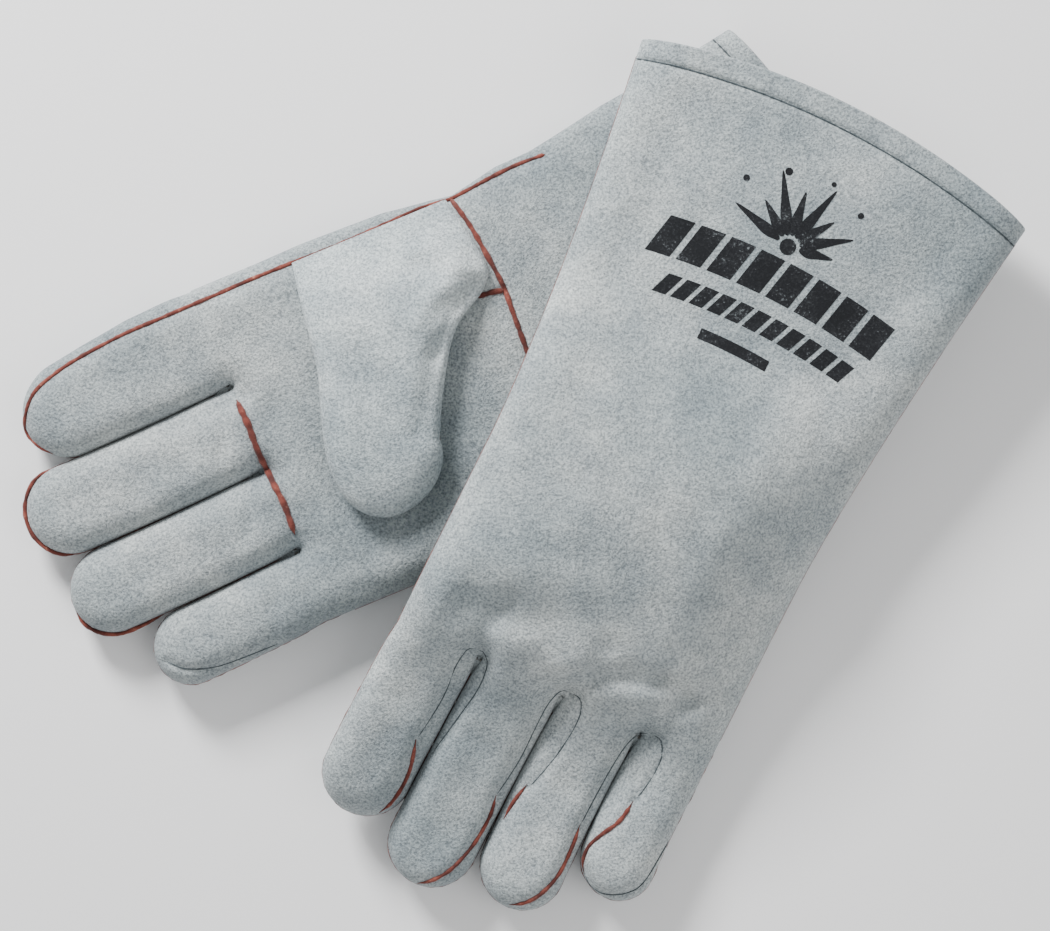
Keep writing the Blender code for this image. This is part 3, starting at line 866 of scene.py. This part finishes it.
# Hand pieces on the hand's body, finger and thumb pieces baked where they lie, and the CAD nodes each
# covers


def covers(piece, side, *names):
    if names:
        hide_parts(*[f"{side}_{name}" for name in names])


def onHand(piece, side, *names):
    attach(piece, side + "_hand")
    covers(piece, side, *names)


def blended(piece):
    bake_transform(piece)


def onFinger(piece, side, name, *names):
    blended(piece)
    covers(piece, side, *names)


def onThumb(piece, side, *names):
    blended(piece)
    covers(piece, side, *names)


linings = {
    "fleeceIn": 1.9,
    "canvasIn": 1.7,
    "fleeceTo": 107,     # u where the fleece ends
    "canvasFrom": 105,
    "thumbIn": 1.7,
    "thumbFrom": 18,     # v where the thumb's fleece starts
}
sheets = {}
mouthShares = {}
for side in gloves:
    s = Sheets()
    shares = []
    for i, name in enumerate(fingerOrder):
        u, v, d, row = fingerGrid(side, i)
        tipU, tipV = (np.array([c]) for c in fingerEdge(side, name)[1])
        for top in (True, False):
            zTip = heights(side, tipU, tipV, np.array([0.0]), top)[0]
            tip = place(side, tipU[0], float(tipV[0]), zTip)
            s.grid(place(side, u, v, heights(side, u, v, d, top)), name, top, tip)
        shares += list(row[1:] if shares else row)
    shares = np.array(shares)
    shares[0], shares[-1] = 1, -1
    mouthShares[side] = shares
    u, v, d = handRows(side, handStations(), shares)
    for top in (True, False):
        s.grid(place(side, u, v, heights(side, u, v, d, top)), "hand", top)
    s.weld()
    sheets[side] = s

for side, s in sheets.items():
    onHand(s.piece(side + "_hand_leather", "hand", leather[side]), side,
           "back_panel", "palm_panel", "cuff_palm_panel")
    onHand(s.piece(side + "_hand_fleece", "hand", fleece, linings["fleeceIn"],
                   lambda u, v: u < linings["fleeceTo"]), side, "hand_lining")
    onHand(s.piece(side + "_cuff_canvas", "hand", canvas, linings["canvasIn"],
                   lambda u, v: u > linings["canvasFrom"]), side, "cuff_lining")
    for name in fingerOrder:
        onFinger(s.piece(f"{side}_{name}_leather", name, leather[side]), side, name,
                 name + "_back", name + "_front")
        onFinger(s.piece(f"{side}_{name}_fleece", name, fleece, linings["fleeceIn"]), side, name,
                 name + "_lining")
print("leather: hands, fingers and their linings cut")

# Turned hems at the mouths
hemCut = {
    # along the cuff, and in from the outer surface
    "profile": [(-0.3, 0.1), (0.35, 0.0), (0.85, 0.35), (1.05, 0.95), (0.9, 1.6), (0.4, 2.1),
                (-1.0, 2.6), (-4.0, 3.0), (-8.0, 3.2), (-12.5, 3.2), (-13.6, 3.0), (-13.6, 2.2),
                (-8.0, 2.0), (-1.5, 0.9)],
    "seamTo": 0.985,  # share of the width that is stitched
    "lift": 0.3,
}
for side in gloves:
    ring = []
    u, v, d = handRows(side, [cut["endU"]], mouthShares[side])
    u, v, d = u[0], v[0], d[0]
    for top, order in ((True, 1), (False, -1)):
        ring.append(place(side, u, v, heights(side, u, v, d, top))[::order][:-1])
    ring = np.concatenate(ring)
    p = ring[:, :3]
    out = np.array([*gloves[side]["along"], 0.0])
    tangent = unit(np.roll(p, -2, axis=0) - np.roll(p, 2, axis=0))
    normal = outwards(unit(np.cross(tangent, out)), p)
    rings = [np.concatenate([p + a * out - b * normal, ring[:, 3:] + [a, 0]], 1)
             for a, b in hemCut["profile"]]
    count, rows = len(p), len(rings)
    index = np.arange(rows * count).reshape(rows, count)
    nextRow, nextCol = np.roll(index, -1, axis=0), np.roll(index, -1, axis=1)
    both = np.roll(nextRow, -1, axis=1)
    faces = np.stack([index, nextCol, both, nextRow], 2).reshape(-1, 4)
    points = np.concatenate(rings)
    outer = count * 3  # the faces of the first rows show which way is out
    a, b, c = (points[faces[:outer, k], :3] for k in range(3))
    if (np.cross(b - a, c - a) * (a - p.mean(0))).sum() < 0:
        faces = faces[:, ::-1]
    onHand(newPiece(side + "_turned_hem", points[:, :3], faces, leather[side], uv=points[:, 3:]),
           side, "cuff_hem")
    seam = hemLine(side, np.linspace(-hemCut["seamTo"], hemCut["seamTo"], 150))
    lines = [onLeather(side, seam, top, hemCut["lift"]) for top in (True, False)]
    onHand(stitches(side + "_hem_stitches", lines), side)
    # a continuous dark thread line along the hem groove: painted shade in the groove, beside the real
    # stitches
    onHand(crease(side + "_hem_painted_shade_line", lines), side)
print("cuffs: hemmed")

# Webs that close the crotch of two fingers
webCut = {
    "from": 2.2,
    "to": -13.0,
    "half": 2.6,
    "top": 3.0,    # above the middle of the finger's thickness at the root
    "drop": 0.32,  # per mm towards the fingertips
    "sag": 0.9,
    "thick": 1.2,
}
for side in gloves:
    s = Sheets()
    share = np.linspace(-1, 1, 9)[None, :]
    u = np.repeat(np.linspace(webCut["from"], webCut["to"], 16)[:, None], share.size, 1)
    for i in range(3):
        v = crotch(side, i)[0] + webCut["half"] * share + 0 * u
        z = rise(side, u, v) + cut["palmThick"] / 2 + webCut["top"]
        z = z + webCut["drop"] * (u - webCut["from"]) - webCut["sag"] * (1 - share ** 2)
        s.grid(place(side, u, v, z), "web", True)
        s.grid(place(side, u, v, z - webCut["thick"]), "web", False)
    s.weld()
    onHand(s.piece(side + "_finger_webs", "web", leather[side]), side)

# Thumbs: v runs from the root to the tip, u across. Each table is read as a smooth curve.
thumbCut = {
    "low": ([-35, -25, -12, 6, 24, 51, 65], [34, 25.6, 23.6, 27.6, 33.4, 37.4, 39.6]),
    "high": ([-33, -24, -14, -4, 12, 20, 24, 28, 34, 44, 54, 65],
             [54.4, 62, 67.4, 72.4, 82, 89, 95.5, 102.0, 106.6, 106.2, 104.6, 101.9]),
    "leftHighest": 101.0,
    "roundFrom": -17.0,
    "tipAt": -37.6,
    "bendRows": 22,
    "drift": -2.5,     # how far the tip leans towards the fingers
    "step": 1.2,
    "across": 52,
    "reach": 13.0,
    "joinReach": 12.0,
    "underShare": 0.6,  # the underside rounds off over this share of the reach
    "joinFrom": 20,     # v where the outer edge starts to join the palm
    "joinRun": 10,
    "edgeShare": 0.42,
    "dip": 2.6,
    "dipTo": 64,
    "dipRun": 8,
    "foldRim": 4,       # folds and unevenness fade out this near the edge
    "unevenRim": 8,
    "fade": 8.0,       # folds start this far from the root
    "folds": [(101, 31, 84, 46, 3.6, 2.0), (98, 27, 76, 12, 4.0, 2.2), (76, 12, 60, -12, 4.5, 1.5),
              (90, 44, 70, 52, 6.0, 1.2), (95, 38, 76, 26, 4.5, -1.6), (40, 40, 50, 12, 8.0, 0.8),
              (104, 40, 92, 56, 4.5, 1.2)],
    "uneven": (0.8, 22, 4.4),
    "seamInset": 1.5,
    "seamRadius": 0.7,
    "seamFrom": {"right": 18, "left": 52},
}
thumbTop = {
    "right": ([-38, -20, 0, 20, 36, 48, 57, 65], [32.5, 36.8, 38.4, 38.4, 37.0, 32.8, 26.2, 19.6]),
    "left": ([-38, -20, 45, 61], [10.2, 12.1, 12.3, 14.9]),
}
thumbBottom = {
    "right": ([-40, 38, 50, 58, 65], [22.9, 22.9, 21.8, 20.2, 19.6]),
    "left": ([-40, 30, 46, 56, 61], [1.8, 1.8, 3.2, 8.4, 14.9]),
}


def softLine(at, table):
    # a smooth curve through a table of values
    line = through(np.stack([np.array(c, float) for c in table], 1), 0.25)
    order = np.argsort(line[:, 0])
    return np.interp(at, line[order, 0], line[order, 1])


for side in gloves:
    rootV, roundFrom, tipV = thumbTop[side][0][-1], thumbCut["roundFrom"], thumbCut["tipAt"]
    straight = np.arange(rootV, roundFrom, -thumbCut["step"])
    bend = np.linspace(0, math.pi / 2, thumbCut["bendRows"])[:-1]
    vs = np.concatenate([straight, roundFrom - (roundFrom - tipV) * np.sin(bend)])
    share = np.cos(np.linspace(0, math.pi, thumbCut["across"] + 1))[None, :]
    low0, high0, low, high = (softLine(at, thumbCut[key]) for at in (roundFrom, straight)
                              for key in ("low", "high"))
    if side == "left":
        high = np.minimum(high, thumbCut["leftHighest"])
    drift = thumbCut["drift"] * np.sin(bend) ** 2
    middle = np.concatenate([(low + high) / 2, (low0 + high0) / 2 + drift])
    half = np.concatenate([(high - low) / 2, (high0 - low0) / 2 * np.cos(bend)])
    u = middle[:, None] + half[:, None] * share
    v = np.repeat(vs[:, None], share.size, 1)
    tipU = middle[-1]
    edge = np.concatenate([np.stack([u[:, 0], vs], 1), [[tipU, tipV]],
                           np.stack([u[::-1, -1], vs[::-1]], 1)])
    d = distanceTo(edge, u, v)
    d[:, 0] = d[:, -1] = 0
    # near the root the thumb's outer edge flattens into the palm
    joined = smooth((v - thumbCut["joinFrom"]) / thumbCut["joinRun"]) * smooth((share + 0.1) / 0.7)
    reach = thumbCut["reach"] + thumbCut["joinReach"] * joined
    zt, zb = softLine(v, thumbTop[side]), softLine(v, thumbBottom[side])
    zEdge = zb + (zt - zb) * thumbCut["edgeShare"] * (1 - joined)
    if side == "right":
        dipped = smooth((thumbCut["dipTo"] - v) / thumbCut["dipRun"])
        zEdge = zEdge - thumbCut["dip"] * joined * dipped
    top = zEdge + (zt - zEdge) * rounded(d / reach)
    low = zEdge - (zEdge - zb) * rounded(d / (thumbCut["underShare"] * reach), form["underPower"])
    if side == "right":
        away = smooth((rootV - v) / thumbCut["fade"])
        for u1, v1, u2, v2, width, depth in thumbCut["folds"]:
            fold = hollow(np.array([[u1, v1], [u2, v2]]), u, v, width, depth)
            top -= fold * np.clip(d / thumbCut["foldRim"], 0, 1) * away
        tall, size, seed = thumbCut["uneven"]
        rim = np.clip(d / thumbCut["unevenRim"], 0, 1)
        top += tall * softNoise(u, v, size, seed) * rim * away
    base = rise(side, u, v, overThumb=False)
    tipBase = rise(side, np.array([tipU]), np.array([tipV]), overThumb=False)[0]
    tip = place(side, tipU, tipV, tipBase + float(zEdge[-1].mean()))
    s = Sheets()
    s.grid(place(side, u, v, base + top), "thumb", True, tip)
    s.grid(place(side, u, v, base + low), "thumb", False, tip)
    s.weld()
    onThumb(s.piece(side + "_thumb_leather", "thumb", thumbLeather[side]), side,
            "thumb_back", "thumb_front")
    onThumb(s.piece(side + "_thumb_fleece", "thumb", fleece, linings["thumbIn"],
                    lambda u, v: v < linings["thumbFrom"]), side, "thumb_lining")
    # the thumb's own seam, tucked under its edge
    free = vs < thumbCut["seamFrom"][side]
    ring = np.concatenate([np.stack([u[free, 0], vs[free]], 1), [[tipU, tipV]],
                           np.stack([u[free, -1], vs[free]], 1)[::-1]])
    line = through(ring[::3], 1.2)
    outward = unit(line - np.array([middle[len(middle) // 2], 10.0]))
    u, v = (line - thumbCut["seamInset"] * outward).T
    z = np.interp(v, vs[::-1], zEdge[::-1].mean(1)) + rise(side, u, v, overThumb=False)
    onThumb(bead(side + "_thumb_seam_welt", [place(side, u, v, z)], thumbCut["seamRadius"]), side,
            "thumb_welt")
print("thumbs: laid")

# Welts and creases
welts = {
    # how far round each of the lower glove's fingertips the bead stands out, from the thumb side
    "shown": {"index": (0.40, 0.60), "middle": (0.36, 0.62), "ring": (0.50, 0.72)},
    "hidden": (2, 3),
    "fade": 0.05,
    "indexFrom": 0.62,  # before this the index seam's own bead shows
    "tucked": -0.6,
    "out": 0.75,
    "below": 0.8,       # how far under the edge a tucked bead runs
    "shownLift": 1.7,
    "lift": {"right": 0.35, "left": 0.3, "crease": 0.12, "thumb": 0.3, "wrist": 0.35, "base": 0.4},
    "taper": 6.0,
    "wristRadius": 1.05,
    "baseRadius": 1.3,
    "baseTaper": 4.0,
    "sideTo": 229.0,
}


def fingerRing(side, name):
    # the finger's own edge from the thumb side round the tip
    start, tip, end = fingerEdge(side, name)
    lead = [handPoint(side, u, 1.0) for u in (10, 5, 0.5)] if name == "index" else []
    trail = [handPoint(side, u, -1.0) for u in (0.5, 5, 10)] if name == "little" else []
    return through(lead + start[2:] + [tip] + end[:-2] + trail, 1.0)


def sewnOn(side, points, kind, top=True):
    return onLeather(side, through(points), top, welts["lift"][kind])


for side in gloves:
    beadLines = {name: [] for name in fingerOrder}
    for name in fingerOrder:
        line = fingerRing(side, name)
        tangent = unit(np.gradient(line, axis=0))
        outward = outwards(np.stack([-tangent[:, 1], tangent[:, 0]], 1), line)
        t = np.linspace(0, 1, len(line))
        t0, t1 = welts["shown"].get(name, welts["hidden"]) if side == "right" else welts["hidden"]
        shown = smooth((t - t0) / welts["fade"]) * smooth((t1 - t) / welts["fade"])
        offset = welts["tucked"] + (welts["out"] - welts["tucked"]) * shown
        moved = line + outward * offset[:, None]
        z = heights(side, *line.T, np.zeros(len(line)), True) + welts["shownLift"] * shown
        kept = t > (welts["indexFrom"] if (side, name) == ("right", "index") else -1)
        beadLines[name].append(place(side, *moved[kept].T, z[kept] - welts["below"]))
    for kind, name, points in seams[side].values():
        if kind == "bead" and name:
            beadLines[name].append(sewnOn(side, points, side))
    for name in fingerOrder:
        onFinger(bead(f"{side}_{name}_seam_welt", beadLines[name], taper=welts["taper"]), side, name,
                 name + "_welt")
    for key, (kind, name, points) in seams[side].items():
        if kind == "crease":
            onFinger(crease(f"{side}_{key}_crease", [sewnOn(side, points, kind)]), side, name)


def sideBead(side, sign):
    us = np.arange(cut["splitU"], welts["sideTo"], 1.5)
    u, v = handPoint(side, us, sign + 0 * us)
    z = heights(side, u, v, np.zeros(len(u)), True) - welts["below"]
    return place(side, u, v + sign * welts["tucked"], z)


for side in gloves:
    top = side == "right"
    uneven = seamCut["sideUneven"]
    if top:
        shown = {key: points for key, (_, _, points) in seams[side].items()}
        piece = bead(side + "_thumb_side_bead", [sewnOn(side, shown["thumbSide"], "thumb")])
    else:
        shown = under
        piece = bead(side + "_thumb_side_bead", [sideBead(side, 1)], uneven=uneven)
    onHand(piece, side, "thumb_side_welt")
    onHand(bead(side + "_little_side_bead", [sideBead(side, -1)], uneven=uneven), side,
           "little_side_welt")
    lines = [sewnOn(side, shown[key], "wrist", top) for key in ("wrist", "wristEnd") if key in shown]
    onHand(bead(side + "_wrist_bead", lines, welts["wristRadius"]), side, "wrist_welt")
    lines = [sewnOn(side, shown["fingerBase"], "base", top)]
    onHand(bead(side + "_finger_base_bead", lines, welts["baseRadius"], welts["baseTaper"]), side,
           "finger_base_welt")
print("seams: sewn")

# The printed mark on the left cuff: a fan of sparks over rows of slanted blocks
markCut = {
    "grid": 1.5,
    "lift": 0.13,
    "rows": [  # u of the lower edge, height, v from and to, number of blocks, gap, arch
        (163.0, 15.0, 44.0, -49.0, 8, 2.4, 4.0),
        (150.5, 8.0, 35.0, -42.0, 11, 1.8, 3.0),
        (142.0, 4.2, 12.0, -16.0, 1, 0.0, 0.5),
    ],
    "slant": 3.2,
    "sparkAt": (187.0, -3.0),
    "sparkRadius": 3.1,
    "rayFrom": 4.5,
    "rays": [(-80, 13.0), (-58, 20.0), (-36, 15.0), (-15, 23.0), (8, 17.0), (30, 24.0), (52, 15.0),
             (76, 21.0)],
    "rayHalf": 2.1,
    "rayProfile": [(0, 0.35), (0.25, 1.0), (0.55, 0.7), (1, 0.0), (0.55, -0.7), (0.25, -1.0),
                   (0, -0.35)],
    "dots": [(212.0, 9.0, 1.5), (209.0, -22.0, 1.2), (203.0, 22.0, 1.3), (215.0, -8.0, 1.0)],
}


def disc(u, v, r, corners):
    turns = np.linspace(0, 2 * math.pi, corners + 1)[:-1]
    return [(u + r * math.cos(a), v + r * math.sin(a)) for a in turns]


def markShapes():
    shapes = []
    for u0, tall, vFrom, vTo, count, gap, arch in markCut["rows"]:
        wide = (abs(vTo - vFrom) - gap * (count - 1)) / count
        middle, reach = (vFrom + vTo) / 2, abs(vFrom - vTo) / 2
        corners = [(0, 0), (0, wide), (tall, wide), (tall, 0)]
        for k in range(count):
            v0 = vFrom - k * (wide + gap)
            shape = []
            for (ua, a), (ub, b) in zip(corners, corners[1:] + corners[:1]):
                for t in np.linspace(0, 1, 9)[:-1]:
                    u, w = ua + (ub - ua) * t, a + (b - a) * t
                    v = v0 - w - markCut["slant"] * (u / tall if count > 1 else 0)
                    shape.append((u0 + u + arch * (1 - ((v - middle) / reach) ** 2), v))
            shapes.append(shape)
    center = np.array(markCut["sparkAt"])
    for angle, length in markCut["rays"]:
        a = math.radians(angle)
        along, wide = np.array([math.cos(a), math.sin(a)]), np.array([-math.sin(a), math.cos(a)])
        start, h = center + markCut["rayFrom"] * along, markCut["rayHalf"]
        line = [start + along * length * p + wide * h * q for p, q in markCut["rayProfile"]]
        shapes.append([tuple(p) for p in through(line + line[:1], 1.0)[:-1]])
    shapes.append(disc(*center, markCut["sparkRadius"], 16))
    return shapes + [disc(*dot, 10) for dot in markCut["dots"]]


points, faces = [], []
step = markCut["grid"]
for shape in markShapes():
    ring = np.array(shape)
    us, vs = (np.arange(ring[:, k].min(), ring[:, k].max(), step) for k in (0, 1))
    u, v = (c.ravel() for c in np.meshgrid(us, vs))
    hit = within(ring, u, v) & (distanceTo(np.vstack([ring, ring[:1]]), u, v) > 0.45 * step)
    corners = [Vector(p) for p in ring] + [Vector(p) for p in zip(u[hit], v[hit])]
    rim = [(k, (k + 1) % len(ring)) for k in range(len(ring))]
    cells = geometry.delaunay_2d_cdt(corners, rim, [], 1, 1e-5)
    start = len(points)
    points += [(p.x, p.y) for p in cells[0]]
    faces += [[start + k for k in face] + [start + face[-1]] for face in cells[2]]
laid = onLeather("left", np.array(points), True, markCut["lift"])
faces = np.array(faces)
a, b, c = (laid[faces[:, k], :3] for k in range(3))
turned = np.cross(b - a, c - a)[:, 2] < 0
faces[turned] = faces[turned][:, [2, 1, 0, 0]]
onHand(newPiece("left_cuff_mark", laid[:, :3], faces, ink), "left")
print("mark: printed")

# Floor, light and camera
stageCut = {
    "floorHalf": 3.0,
    "floorColor": (0.93, 0.93, 0.935, 1),
    "floorRough": 0.9,
    "cameraAt": (0.00194, 0.00295, 1.6),
    "lens": 144.6,
    "key": ((-0.68, 1.08, 0.8), 0.42, 44.0),  # place, size and power
    "fill": ((0.9, -0.5, 1.3), 1.4, 9.0),
    "lightsAimAt": (0, 0, 0.02),
    "sky": 0.55,
}
h = stageCut["floorHalf"]
floorMesh = bpy.data.meshes.new("floor")
floorMesh.from_pydata([(-h, -h, 0), (h, -h, 0), (h, h, 0), (-h, h, 0)], [], [(0, 1, 2, 3)])
white = bpy.data.materials.new("paleFloor")
white.use_nodes = True
paint = white.node_tree.nodes["Principled BSDF"].inputs
paint["Base Color"].default_value = stageCut["floorColor"]
paint["Roughness"].default_value = stageCut["floorRough"]
floorMesh.materials.append(white)
placed("floor", floorMesh)

camera = bpy.data.cameras.new("camera")
camera.lens = stageCut["lens"]
bpy.context.scene.camera = placed("camera", camera)
bpy.context.scene.camera.location = stageCut["cameraAt"]
for name in ("key", "fill"):
    at, size, power = stageCut[name]
    light = bpy.data.lights.new(name, "AREA")
    light.energy, light.size = power, size
    obj = placed(name, light)
    obj.location = at
    toward = Vector(stageCut["lightsAimAt"]) - Vector(at)
    obj.rotation_euler = toward.to_track_quat("-Z", "Y").to_euler()
world = bpy.data.worlds.new("studio")
bpy.context.scene.world = world
world.use_nodes = True
sky = world.node_tree.nodes["Background"].inputs
sky["Color"].default_value = (1, 1, 1, 1)
sky["Strength"].default_value = stageCut["sky"]
print("stage: set")
